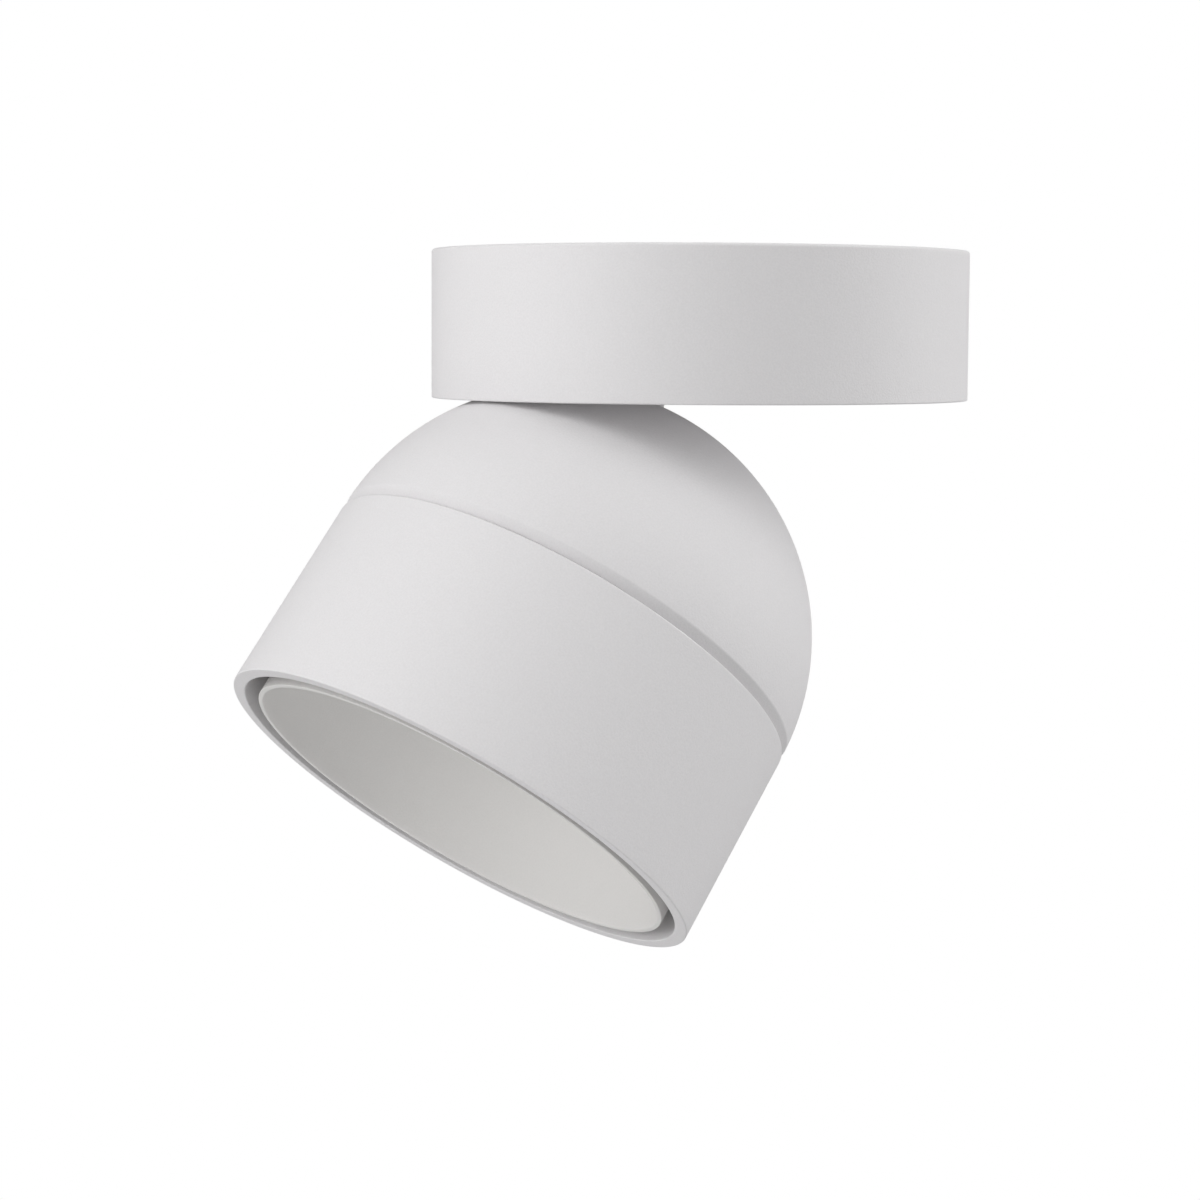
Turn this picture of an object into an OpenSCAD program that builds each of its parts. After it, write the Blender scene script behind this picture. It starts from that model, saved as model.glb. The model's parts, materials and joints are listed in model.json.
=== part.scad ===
// Adjustable ceiling spotlight: a round base, a hidden swivel and a round-backed lamp head.
// Millimetres. Origin at the centre of the ceiling face, +Z up, the object hangs below.
// The head pans about Z and tilts about a pin along Y, beside the centre, up in the base.
// It is drawn at the end of its tilt, leaning towards -X.

/* [Base] */
// Diameter of the round base
base_d = 120; // [116:1:130]
// Height of the base from the ceiling to its lower rim
base_h = 33; // [33:0.5:42]
// Wall of the base housing
base_wall = 1.5; // [1.5:0.1:2.2]
// Rounding of the outer edges of the base
base_edge = 0.8; // [0.4:0.1:1]
// Bevel on the inside of the lower rim
rim_bevel = 0.7; // [0.4:0.1:0.9]
// Thickness of the base floor and of the well's roof
floor_t = 2; // [1.6:0.1:2.4]
// Room between the tilted dome and the base floor
recess_gap = 1.5; // [1:0.1:2]
// Gap between the swivel plate and the well around it
well_gap = 0.7; // [0.5:0.1:1]
// Depth of the well above the lower rim
well_depth = 15.5; // [15.3:0.1:16]

/* [Ceiling bracket] */
// Thickness of the bracket plate
bracket_t = 1.5; // [1.2:0.1:2]
// Gap all round between the bracket and the base wall
bracket_gap = 2.5; // [2:0.1:3.5]
// Distance between the two slots for the ceiling screws
slot_spacing = 70; // [60:1:76]
// Width of a slot
slot_w = 4.5; // [4:0.1:5.5]
// Length of a slot from end to end
slot_l = 14; // [10:0.5:16]
// Diameter of the cable hole in the bracket
cable_hole_d = 20; // [18:0.5:24]
// Bore of the rubber grommet
grommet_bore = 10; // [8:0.5:12]
// Length of the bracket ears
ear_drop = 12; // [10:0.5:14]

/* [Swivel] */
// Distance of the tilt pin from the middle of the base
pin_offset = 19.5; // [18:0.1:20]
// Height of the tilt pin above the lower rim
pin_rise = 6.5; // [6.2:0.1:7]
// Outer diameter of the hollow swivel tube
pan_d = 10; // [9:0.1:11]
// Bore of the swivel tube
pan_bore = 7; // [6:0.1:7.4]
// Thickness of the swivel plate
yoke_t = 3; // [2.5:0.1:3.2]
// Clear width between the yoke's ears
yoke_gap = 16; // [15:0.1:17]
// Thickness of a yoke ear
yoke_ear_t = 2.5; // [2:0.1:3]
// Width of a yoke ear
yoke_ear_w = 9.6; // [9:0.1:9.8]
// Diameter of the tilt screws
tilt_screw_d = 4; // [3:0.1:4.5]
// Thickness of a nylon washer in the swivel
washer_t = 0.8; // [0.6:0.05:1]
// Thickness of a friction washer in the hinge
hinge_washer_t = 0.5; // [0.4:0.05:0.8]
// Radius at which the stop pin stands
stop_r = 13.5; // [13:0.1:14]
// Diameter of the stop pin
stop_d = 2.5; // [2:0.1:3]

/* [Head] */
// Diameter of the round back of the head
dome_d = 109.8; // [106:0.2:114]
// Wall of the dome
dome_wall = 3; // [2.5:0.1:3.5]
// How far the dome's top sits up in the base when the head hangs straight
dome_nest = 3.3; // [2.5:0.1:3.6]
// Gap left between the dome and the base rim at full tilt
rim_gap = 0.54; // [0.3:0.02:0.8]
// Radial size of the bevel on the dome's front edge
dome_bevel_r = 1.3; // [0.6:0.1:1.8]
// Length of the bevel on the dome's front edge
dome_bevel_l = 2.2; // [1:0.1:3]
// Seam between the dome and the front tube
seam_gap = 0.3; // [0.2:0.05:0.5]
// Length of the front tube
tube_l = 44.4; // [42:0.2:52]
// Wall of the front tube at its rim
tube_wall = 2.9; // [2.4:0.1:3.2]
// How much wider the tube is at its front than the dome, on the radius
tube_flare = 0.5; // [0.2:0.1:0.8]
// Gap all round between the tube and the inner cup
cup_gap = 3.2; // [2.6:0.1:3.6]
// Width of the cup's rounded lip
cup_lip = 1; // [0.8:0.1:1.6]
// How far the cup sits back from the tube's rim
cup_setback = 0.2; // [0:0.1:2]
// Wall of the cup
cup_wall = 1.5; // [1.2:0.1:1.8]
// Diameter of the cup's inner opening
aperture_d = 41; // [36:0.5:42]
// How far the cup's side bows outwards
cup_bow = 3; // [1:0.1:4]

/* [Lamp] */
// Diameter of the lens
lens_d = 50; // [46:0.5:52]
// Thickness of the lens
lens_t = 1.5; // [1.2:0.1:2.5]
// Thickness of the heat sink's plate
sink_t = 4; // [3:0.1:5]
// Thickness of a cooling fin
fin_t = 1.6; // [1.2:0.1:2]
// Distance from fin to fin
fin_pitch = 7; // [6.5:0.1:8]
// Side of the square light engine
chip_w = 19; // [17:0.5:20]
// Diameter of the glowing disc
emitter_d = 13; // [10:0.5:14]
// Diameter of the light engine's holder
chip_holder_d = 40; // [38:0.5:42]

/* [Driver] */
// Width of the driver case
driver_w = 15; // [14:0.5:16]
// Height of the driver case
driver_h = 20; // [17:0.5:21]
// Wall of the driver case
driver_wall = 1.5; // [1.2:0.1:1.8]
// Length of the terminal block
block_l = 32; // [30:0.5:34]
// Width of the terminal block
block_w = 16; // [14:0.5:17]
// Height of the terminal block
block_h = 11.5; // [10:0.5:13]

/* [Hidden] */
$fn = 96;
// Clearances: a close fit in one body, a turning fit, and a face that slips on another
fit = 0.05;
turn_fit = 0.05;
slip = 0.02;
// Cut tools reach this far past the faces that they cut
over = 1;

// Levels of the base, all below the ceiling
base_r = base_d / 2;
base_in = base_r - base_wall;
rim_z = -base_h;
pin_z = rim_z + pin_rise;

// The arm from the tilt pin to the dome's centre, its lean in the head,
// and the tilt at which the dome just clears the rim
dome_r = dome_d / 2;
dome_in = dome_r - dome_wall;
dome_drop = dome_r - dome_nest + pin_rise;
arm = norm([pin_offset, dome_drop]);
arm_lean = atan2(pin_offset, dome_drop);
rim_reach = base_in + rim_bevel - pin_offset;
rim_arm = norm([rim_reach, pin_rise]);
rim_angle = atan2(rim_reach, pin_rise);
rim_cosine = (pow(rim_arm, 2) + pow(arm, 2) - pow(dome_r + rim_gap, 2)) / (2 * arm * rim_arm);
tilt = rim_angle + arm_lean - acos(rim_cosine);

// The hinge, out from the middle along Y
ear_in = yoke_gap / 2;
ear_out = ear_in + yoke_ear_t;
prong_out = ear_in - hinge_washer_t;
prong_t = 2.5;
prong_in = prong_out - prong_t;
prong_w = yoke_ear_w - 0.6;
hinge_spring_t = 0.8;
tilt_head_h = 2.2;
tilt_head_r = tilt_screw_d / 2 + 1.5;
tilt_screw_r = tilt_screw_d / 2;
tilt_screw_end = ear_out + slip + hinge_spring_t + tilt_head_h;

// The recessed floor and the well around the swivel
recess = dome_nest + recess_gap;
floor_z = rim_z + recess + floor_t;
ear_sweep = norm([pin_offset + yoke_ear_w / 2, ear_out]);
screw_sweep = norm([pin_offset + tilt_head_r, tilt_screw_end]);
yoke_r = max(ear_sweep, screw_sweep) + 0.1;
well_r = yoke_r + well_gap;
roof_under = rim_z + well_depth;
roof_z = roof_under + floor_t;
bracket_r = base_in - bracket_gap;

// The swivel stack, from the yoke up through the roof to the nut
pan_r = pan_d / 2;
yoke_top = roof_under - washer_t - slip;
yoke_under = yoke_top - yoke_t;
pan_flange_t = 1.5;
pan_flange_r = pan_r + 2.5;
stop_ring_z = roof_z + washer_t + slip;
stop_ring_t = 1.5;
stop_ring_r = pan_r + 4.5;
lug_w = 3;
lug_reach = stop_r + stop_d / 2 + 0.5;
spring_z = stop_ring_z + stop_ring_t;
spring_t = 0.6;
spring_h = 1.1;
nut_z = spring_z + spring_h;
nut_h = 3.4;
nut_af = 1.4 * pan_d;
pan_top = nut_z + nut_h + 1.2;

// The stem that carries the dome, by distance from the dome's centre
neck_r = norm([prong_w / 2, prong_out]) + 0.3;
neck_top = arm - yoke_ear_w / 2 - 0.5;
neck_bore_r = 3;
stem_seat = dome_in - 2.9;
stem_flange_r = neck_r + 6.2;
stem_flange_t = 3;
stem_under = stem_seat - stem_flange_t;
stem_screw_r = neck_r + 3.2;
stem_screw_count = 4;

// Places along the head's axis, counted from the dome's centre towards the light
dome_front_l = 0.5;
bevel_start_l = dome_front_l - dome_bevel_l;
tube_rear_l = dome_front_l + seam_gap;
tube_front_l = tube_rear_l + tube_l;
tube_front_r = dome_r + tube_flare;
tube_rear_r = dome_r + 0.1;
tube_in = tube_front_r - tube_wall;
spigot_r = tube_in - fit;
spigot_t = 2.5;
spigot_l = 5;
tube_flange_t = 2.5;
tube_flange_in = tube_in - 9;
plate_l = spigot_l + tube_flange_t;
plate_t = 2;
plate_r = tube_in - 1.5;
tube_screw_r = tube_in - 5;
boss_r = 3.5;

// The optic's collar: the lens sits in it from behind, the cup slides over it
collar_in = lens_d / 2 + 0.1;
collar_r = collar_in + 2.4;
collar_rear_l = plate_l - 6.5;
lens_l = plate_l;
collar_lip_l = lens_l + lens_t + fit;
collar_lip_t = 1.2;
collar_lip_in = lens_d / 2 - 2.5;
collar_front_l = collar_lip_l + collar_lip_t + 2.7;
seal_d = 1;
seal_l = collar_front_l - 1.8;
neck_in = collar_r + 0.15;

// The cup
cup_r = tube_in - cup_gap;
cup_front_l = tube_front_l - cup_setback;
cup_lip_in = cup_r - cup_lip;
cup_collar_l = cup_front_l - 9;
cup_rear_l = collar_front_l + 0.3;
aperture_r = aperture_d / 2;
cup_steps = 16;

// The light engine and its heat sink
sink_face_l = -18;
sink_back_l = sink_face_l - sink_t;
sink_r = sqrt(pow(dome_in, 2) - pow(sink_back_l, 2)) - 3.5;
sink_boss_r = sink_r - 6.5;
sink_boss_size = 4.5;
fin_end_l = stem_flange_r * sin(arm_lean) - (stem_under - 1.8) * cos(arm_lean) + 1;
fin_room = 3;
fin_tip_r = sqrt(pow(dome_in - fin_room, 2) - pow(fin_end_l, 2));
pad_t = 0.4;
chip_t = 1.6;
emitter_t = 0.4;
chip_holder_h = 4.4;
chip_holder_l = sink_face_l + chip_holder_h;
reflector_small_r = emitter_d / 2 + 1.5;
reflector_wall = 1.2;
reflector_rim_t = 1;
reflector_steps = 14;
reflector_l = lens_l - reflector_rim_t;
reflector_wide = lens_d / 2 - 1.8;

// The reflector's inside widens as a parabola from the light engine to the lens
function reflector_radius(t) =
    reflector_small_r + (reflector_wide - reflector_small_r) * sqrt(t);
function reflector_outside(rise) =
    reflector_radius(rise / (reflector_l - chip_holder_l)) + reflector_wall;

// The holder's screws and the lead's cores stand clear of the reflector
chip_head_r = 2.2;
chip_head_h = 1.4;
chip_screw_r = reflector_outside(chip_head_h) + chip_head_r + 0.1;
core_x = -(reflector_outside(chip_head_h + 0.2) + 1.5);
lead_hole_x = 17 - sink_r;
lead_hole_r = 2.2;

// The driver case beside the well
driver_x = well_r + floor_t + 1.5;
driver_wide = driver_x + driver_w;
driver_l = 2 * sqrt(pow(base_in - 3.3, 2) - pow(driver_wide, 2));
driver_split = floor_z + driver_h * 0.6;
driver_top = floor_z + driver_h;
driver_tab = 7;
driver_tab_t = 2;
driver_boss_h = 5;
driver_screw_x = driver_x + 5;
driver_screw_y = driver_l / 2 + driver_tab / 2;
board_t = 1.6;
board_z = floor_z + driver_wall + 2;
driver_room_w = driver_w - 2 * (driver_wall + 1.1) - 0.8;
driver_room_h = driver_top - driver_wall - board_z - board_t - 2.4;
coil_l = 0.232 * driver_l;
capacitor_r = driver_room_w * 0.43;

// The terminal block, the clamp and the earth screw on the floor
block_x = -(well_r + floor_t + 2 + block_w / 2);
block_pad = 3;
block_z = floor_z + block_pad;
pole_pitch = 10;
mid_floor_r = (well_r + floor_t + base_in) / 2;
clamp_at = mid_floor_r * [-0.577, 0.817];
clamp_turn = -54.8;
clamp_pad = 4;
clamp_span = 7.4;
clamp_bore_r = 3.5;
earth_at = mid_floor_r * [-0.577, -0.817];
earth_boss_h = 6;

// Fixings of the base on its bracket
set_angles = [0, 120];
hook_angle = 240;
set_screw_z = -8;
set_screw_r = 1.5;
bracket_ear_w = 12;
hook_foot_z = -9;
hook_foot_t = 1.5;
ledge_t = 2;

// Insulation and wires
lead_r = 1.6;
lead_bend = 4.8;
wire_r = 0.9;
core_r = 0.6;
wire_sides = 8;

// Shared shapes

module ring(outer, inner, low, high) {
    translate([0, 0, low])
        difference() {
            cylinder(h = high - low, r = outer);
            translate([0, 0, -over])
                cylinder(h = high - low + 2 * over, r = inner);
        }
}

module rod(radius, low, high) {
    translate([0, 0, low])
        cylinder(h = high - low, r = radius);
}

module block(size, centre, low, high) {
    translate([centre[0] - size[0] / 2, centre[1] - size[1] / 2, low])
        cube([size[0], size[1], high - low]);
}

module hex(across, low, high) {
    translate([0, 0, low])
        cylinder(h = high - low, d = across / cos(30), $fn = 6);
}

// A cap screw along Z: its head sits on z = 0 and its shank goes down
module cap_screw(shank_r, head_r, head_h, length) {
    difference() {
        union() {
            rod(head_r, 0, head_h);
            rod(shank_r, -length, over / 100);
        }
        hex(shank_r * 1.5, head_h * 0.45, head_h + over);
    }
}

// The head's own frame: the dome's centre is its origin and the light leaves downwards
module in_head() {
    translate([-pin_offset, 0, pin_z])
        rotate([0, tilt, 0])
            translate([pin_offset, 0, -dome_drop])
                children();
}

// The arm's frame in the head: up its Z axis lies the tilt pin
module up_arm() {
    rotate([0, -arm_lean, 0])
        children();
}

// Height, in the head's frame, of a place counted towards the light
function head_z(place) = -place;

// A solid turned about the head's axis from [radius, place] points
module turned(points) {
    rotate_extrude()
        polygon([for (p = points) [p[0], head_z(p[1])]]);
}

module head_rod(radius, from, to) {
    rod(radius, head_z(to), head_z(from));
}

// A screw driven towards the dome's back, with its head's seat at a place
module head_screw(place, shank_r, head_r, head_h, length) {
    translate([0, 0, head_z(place)])
        rotate([180, 0, 0])
            cap_screw(shank_r, head_r, head_h, length);
}

// Wires: a smooth line through hand-set points, and a closed tube along it

function unit(v) = v / norm(v);

function curve_point(a, b, c, d, t) =
    0.5 * (2 * b + (c - a) * t + (2 * a - 5 * b + 4 * c - d) * t * t
    + (3 * b - a - 3 * c + d) * t * t * t);

function smooth_line(p, n) = [
    for (i = [0 : len(p) - 2], k = [0 : n - 1])
        curve_point(p[max(i - 1, 0)], p[i], p[i + 1], p[min(i + 2, len(p) - 1)], k / n),
    p[len(p) - 1]
];

function directions(q) = [
    for (i = [0 : len(q) - 1])
        unit(q[min(i + 1, len(q) - 1)] - q[max(i - 1, 0)])
];

function first_side(t) = unit(cross(t, abs(t[2]) < 0.9 ? [0, 0, 1] : [1, 0, 0]));

function sides(t, i, last) = i >= len(t) ? [] :
    let (s = unit(last - (last * t[i]) * t[i]))
    concat([s], sides(t, i + 1, s));

module wire(points, radius, steps) {
    q = smooth_line(points, steps);
    t = directions(q);
    s = sides(t, 0, first_side(t[0]));
    n = wire_sides;
    rings = len(q);
    corners = [
        for (i = [0 : rings - 1], k = [0 : n - 1])
            q[i] + radius * (cos(360 * k / n) * s[i] + sin(360 * k / n) * cross(t[i], s[i]))
    ];
    walls = [
        for (i = [0 : rings - 2], k = [0 : n - 1], half = [0, 1])
            half == 0
                ? [i * n + k, (i + 1) * n + (k + 1) % n, i * n + (k + 1) % n]
                : [i * n + k, (i + 1) * n + k, (i + 1) * n + (k + 1) % n]
    ];
    first_cap = [[for (k = [0 : n - 1]) k]];
    last_cap = [[for (k = [0 : n - 1]) (rings - 1) * n + n - 1 - k]];
    polyhedron(points = corners, faces = concat(walls, first_cap, last_cap));
}

// Base

module base_shell() {
    rotate_extrude()
        polygon([
            [base_r - base_edge, 0], [base_in, 0],
            [base_in, floor_z], [well_r + floor_t, floor_z],
            [well_r + floor_t, roof_z], [0, roof_z],
            [0, roof_under], [well_r, roof_under],
            [well_r, rim_z + recess], [base_in, rim_z + recess],
            [base_in, rim_z + rim_bevel], [base_in + rim_bevel, rim_z],
            [base_r - base_edge, rim_z],
            [base_r - base_edge * 0.293, rim_z + base_edge * 0.293],
            [base_r, rim_z + base_edge], [base_r, -base_edge],
            [base_r - base_edge * 0.293, -base_edge * 0.293]
        ]);
}

module driver_bosses() {
    for (side = [-1, 1])
        translate([driver_screw_x, side * driver_screw_y, 0])
            rod(3.3, floor_z, floor_z + driver_boss_h);
}

module hook_ledge() {
    rotate(hook_angle)
        intersection() {
            ring(base_in + 0.5, bracket_r + 0.2, hook_foot_z, hook_foot_z + ledge_t);
            block([base_r, bracket_ear_w + 4], [base_in, 0], rim_z, 0);
        }
}

module base_housing() {
    color("whitesmoke")
        difference() {
            union() {
                base_shell();
                driver_bosses();
                hook_ledge();
                block([block_w, block_l], [block_x, 0], floor_z - 0.5, block_z);
                translate(clamp_at)
                    rotate(clamp_turn)
                        block([2 * clamp_span + 7, 8], [0, 0], floor_z - 0.5, floor_z + clamp_pad);
                translate(earth_at)
                    rod(4.5, floor_z - 0.5, floor_z + earth_boss_h);
            }
            rod(pan_r + turn_fit, roof_under - over, roof_z + over);
            rotate(180)
                translate([stop_r, 0, 0])
                    rod(stop_d / 2 + fit / 2, roof_under - over, roof_z + over);
            for (side = [-1, 1])
                translate([driver_screw_x, side * driver_screw_y, 0])
                    rod(1.5 + fit, floor_z, floor_z + driver_boss_h + over);
            for (angle = set_angles)
                rotate(angle)
                    translate([base_in - over, 0, set_screw_z])
                        rotate([0, 90, 0])
                            cylinder(h = base_wall + 2 * over, r = set_screw_r + fit);
            for (side = [-1, 1])
                translate([block_x, side * pole_pitch / 2, 0])
                    rod(1.25 + fit, floor_z, block_z + over);
            translate(clamp_at)
                rotate(clamp_turn)
                    for (side = [-1, 1])
                        translate([side * clamp_span, 0, 0])
                            rod(1.25 + fit, floor_z, floor_z + clamp_pad + over);
            translate(earth_at)
                rod(2 + fit, floor_z, floor_z + earth_boss_h + over);
        }
}

module bracket_ear(low) {
    intersection() {
        ring(bracket_r - 0.1, bracket_r - bracket_t, low, -bracket_t / 2);
        block([base_r, bracket_ear_w], [base_r / 2, 0], low - over, 0);
    }
}

module ceiling_bracket() {
    hook_under = hook_foot_z - hook_foot_t;
    color("silver")
        difference() {
            union() {
                rod(bracket_r, -bracket_t, 0);
                for (angle = set_angles)
                    rotate(angle)
                        bracket_ear(-ear_drop);
                rotate(hook_angle) {
                    bracket_ear(hook_under);
                    intersection() {
                        ring(base_in - 0.5, bracket_r - bracket_t, hook_under, hook_foot_z);
                        block([base_r, bracket_ear_w], [base_r / 2, 0], hook_under, hook_foot_z);
                    }
                }
            }
            rod(cable_hole_d / 2, -bracket_t - over, over);
            for (side = [-1, 1])
                translate([0, side * slot_spacing / 2, 0])
                    for (end = [-1, 1])
                        translate([0, end * (slot_l - slot_w) / 2, 0])
                            rod(slot_w / 2, -bracket_t - over, over);
            for (side = [-1, 1])
                block([slot_w, slot_l - slot_w], [0, side * slot_spacing / 2],
                    -bracket_t - over, over);
            for (angle = set_angles)
                rotate(angle)
                    translate([bracket_r - 2 * bracket_t - over, 0, set_screw_z])
                        rotate([0, 90, 0])
                            cylinder(h = 2 * bracket_t + 2 * over, r = set_screw_r + fit);
        }
}

module cable_grommet() {
    color([0.12, 0.12, 0.12])
        difference() {
            union() {
                rod(cable_hole_d / 2 - fit, -bracket_t - 0.5, 0);
                rod(cable_hole_d / 2 + 2.2, -bracket_t - 2, -bracket_t);
            }
            rod(grommet_bore / 2, -bracket_t - 2 - over, over);
        }
}

// Grub screws through the back of the base wall into the bracket's ears
module base_set_screws() {
    length = base_r - 0.6 - (bracket_r - bracket_t - 1.5);
    color("gainsboro")
        for (angle = set_angles)
            rotate(angle)
                translate([bracket_r - bracket_t - 1.5, 0, set_screw_z])
                    rotate([0, 90, 0])
                        difference() {
                            cylinder(h = length, r = set_screw_r);
                            hex(1.5, length - 2, length + over);
                        }
}

module pan_stop_pin() {
    color("silver")
        rotate(180)
            translate([stop_r, 0, 0])
                rod(stop_d / 2, roof_under, stop_ring_z + stop_ring_t + 0.8);
}

module pan_thrust_washers() {
    color("ivory") {
        ring(yoke_r - 6, pan_r + 4, roof_under - washer_t, roof_under);
        ring(pan_r + 4.5, pan_r + 0.3, roof_z, roof_z + washer_t);
    }
}

// Mains terminals

module terminal_block() {
    color("ghostwhite")
        difference() {
            union() {
                block([block_w, block_l - 2], [block_x, 0], block_z, block_z + block_h * 0.35);
                for (pole = [-1 : 1])
                    block([block_w, pole_pitch - 1.6], [block_x, pole * pole_pitch],
                        block_z, block_z + block_h);
                block([block_w - 5, block_l - 4], [block_x, 0], block_z, block_z + block_h * 0.8);
            }
            for (pole = [-1 : 1])
                translate([block_x, pole * pole_pitch, block_z + block_h * 0.42]) {
                    translate([-block_w / 2 - over, 0, 0])
                        rotate([0, 90, 0])
                            cylinder(h = block_w + 2 * over, r = 2.5 + fit);
                    for (end = [-1, 1])
                        translate([end * block_w / 4, 0, 0])
                            cylinder(h = block_h, r = 2);
                }
            for (side = [-1, 1])
                translate([block_x, side * pole_pitch / 2, 0]) {
                    rod(1.25 + fit, block_z - over, block_z + block_h);
                    rod(2.4, block_z + block_h * 0.5, block_z + block_h + over);
                }
        }
}

module terminal_tubes() {
    color("goldenrod")
        for (pole = [-1 : 1])
            translate([block_x, pole * pole_pitch, block_z + block_h * 0.42])
                difference() {
                    rotate([0, 90, 0])
                        translate([0, 0, 1 - block_w / 2])
                            cylinder(h = block_w - 2, r = 2.5);
                    rotate([0, 90, 0])
                        translate([0, 0, -block_w])
                            cylinder(h = 2 * block_w, r = 1.6);
                    for (end = [-1, 1])
                        translate([end * block_w / 4, 0, 0])
                            cylinder(h = 4, r = 1.25 + fit);
                }
}

module terminal_screws() {
    head_z0 = block_z + block_h * 0.42 + 3.4;
    color("silver")
        for (pole = [-1 : 1], end = [-1, 1])
            translate([block_x + end * block_w / 4, pole * pole_pitch, head_z0])
                difference() {
                    union() {
                        rod(1.25, -2.6, 0.01);
                        rod(1.85, 0, 1.4);
                    }
                    block([4, 0.6], [0, 0], 0.7, 2);
                }
}

module terminal_fixing_screws() {
    color("silver")
        for (side = [-1, 1])
            translate([block_x, side * pole_pitch / 2, block_z + block_h * 0.5])
                cap_screw(1.25, 2.1, 1.4, block_h * 0.5 + block_pad - 0.4);
}

// Driver

module driver_footprint(inset, low, high) {
    block([driver_w - 2 * inset, driver_l - 2 * inset],
        [driver_x + driver_w / 2, 0], low, high);
}

module driver_tray() {
    color([0.93, 0.93, 0.94])
        difference() {
            union() {
                driver_footprint(0, floor_z, driver_split);
                for (side = [-1, 1])
                    block([9, driver_tab + 1],
                        [driver_screw_x, side * (driver_screw_y - 0.5)],
                        floor_z + driver_boss_h, floor_z + driver_boss_h + driver_tab_t);
            }
            difference() {
                driver_footprint(driver_wall, floor_z + driver_wall, driver_split + over);
                for (side = [-1, 1], end = [-1, 1])
                    block([5, 5],
                        [driver_x + driver_w / 2 + side * (driver_w / 2 - driver_wall - 2),
                        end * (driver_l / 2 - driver_wall - 2)], floor_z, board_z);
            }
            for (side = [-1, 1])
                translate([driver_screw_x, side * driver_screw_y, 0])
                    rod(1.6, floor_z + driver_boss_h - over, floor_z + driver_boss_h + 4);
            translate([driver_x - over, driver_out[1], driver_out[2]])
                rotate([0, 90, 0])
                    cylinder(h = driver_wall + 2 * over, r = lead_r + 0.15);
            for (y = [driver_in[1], driver_in[1] - mains_pitch])
                translate([driver_x - over, y, driver_in[2]])
                    rotate([0, 90, 0])
                        cylinder(h = driver_wall + 2 * over, r = wire_r + 0.15);
        }
}

module driver_lid() {
    color([0.93, 0.93, 0.94])
        difference() {
            union() {
                driver_footprint(0, driver_split, driver_top);
                driver_footprint(driver_wall + 0.1, driver_split - 1.5, driver_split + 0.1);
            }
            driver_footprint(driver_wall + 1.1, driver_split - 2 * over, driver_top - driver_wall);
            for (slot = [-3 : 3])
                block([driver_w - 9, 1.2], [driver_x + driver_w / 2, slot * 4],
                    driver_top - driver_wall - over, driver_top + over);
        }
}

module driver_board() {
    color([0.1, 0.38, 0.2])
        driver_footprint(driver_wall + 0.4, board_z, board_z + board_t);
}

module driver_transformer() {
    top = board_z + board_t;
    high = top + driver_room_h;
    at = [driver_x + driver_w / 2, -driver_l / 5];
    color([0.25, 0.24, 0.23])
        block([driver_room_w, 0.36 * coil_l], at, top, high);
    color([0.25, 0.24, 0.23])
        for (side = [-1, 1])
            block([driver_room_w, 0.16 * coil_l], [at[0], at[1] + side * 0.42 * coil_l], top, high);
    color([0.85, 0.75, 0.3])
        for (side = [-1, 1])
            block([driver_room_w - 1.4, 0.17 * coil_l], [at[0], at[1] + side * 0.26 * coil_l],
                top, high - 1);
}

module driver_capacitors() {
    top = board_z + board_t;
    mid = driver_x + driver_w / 2;
    color([0.16, 0.18, 0.22])
        for (y = [driver_l / 25, driver_l / 25 + 2 * capacitor_r + 1])
            translate([mid, y, top])
                rod(capacitor_r, 0, driver_room_h);
}

module driver_screws() {
    color("silver")
        for (side = [-1, 1])
            translate([driver_screw_x, side * driver_screw_y,
                floor_z + driver_boss_h + driver_tab_t])
                cap_screw(1.5, 2.6, 2, driver_boss_h + driver_tab_t - 0.5);
}

// Cable clamp and earth

module cable_clamp() {
    low = floor_z + clamp_pad;
    color("ghostwhite")
        translate(clamp_at)
            rotate(clamp_turn)
                difference() {
                    union() {
                        block([2 * clamp_span + 7, 7], [0, 0], low, low + 2.4);
                        translate([0, 3.5, low])
                            rotate([90, 0, 0])
                                cylinder(h = 7, r = clamp_bore_r + 1.8);
                    }
                    block([4 * clamp_span, 20], [0, 0], low - 10, low);
                    translate([0, 10, low])
                        rotate([90, 0, 0])
                            cylinder(h = 20, r = clamp_bore_r);
                    for (side = [-1, 1])
                        translate([side * clamp_span, 0, 0])
                            rod(1.35, low - over, low + 4);
                }
}

module clamp_screws() {
    color("silver")
        translate(clamp_at)
            rotate(clamp_turn)
                for (side = [-1, 1])
                    translate([side * clamp_span, 0, floor_z + clamp_pad + 2.4])
                        cap_screw(1.25, 2.1, 1.6, clamp_pad + 2);
}

module earth_washer() {
    color("goldenrod")
        translate([earth_at[0], earth_at[1], 0])
            ring(4.2, 2 + fit, floor_z + earth_boss_h, floor_z + earth_boss_h + 0.8);
}

module earth_screw() {
    color("goldenrod")
        translate([earth_at[0], earth_at[1], floor_z + earth_boss_h + 0.8])
            cap_screw(2, 3.6, 2.4, earth_boss_h + 0.3);
}

// Wires in the base

pole_z = block_z + block_h * 0.42;
block_face = block_x + block_w / 2;
mains_pitch = 4.5;
driver_in = [driver_x + driver_wall + 1.5, driver_l / 2 - 9, board_z + 4];
driver_out = [driver_x + driver_wall + 1.5, 9 - driver_l / 2, board_z + 4];
round_well = well_r + floor_t + wire_r + 0.6;
over_roof = roof_z + wire_r + 0.6;

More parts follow.
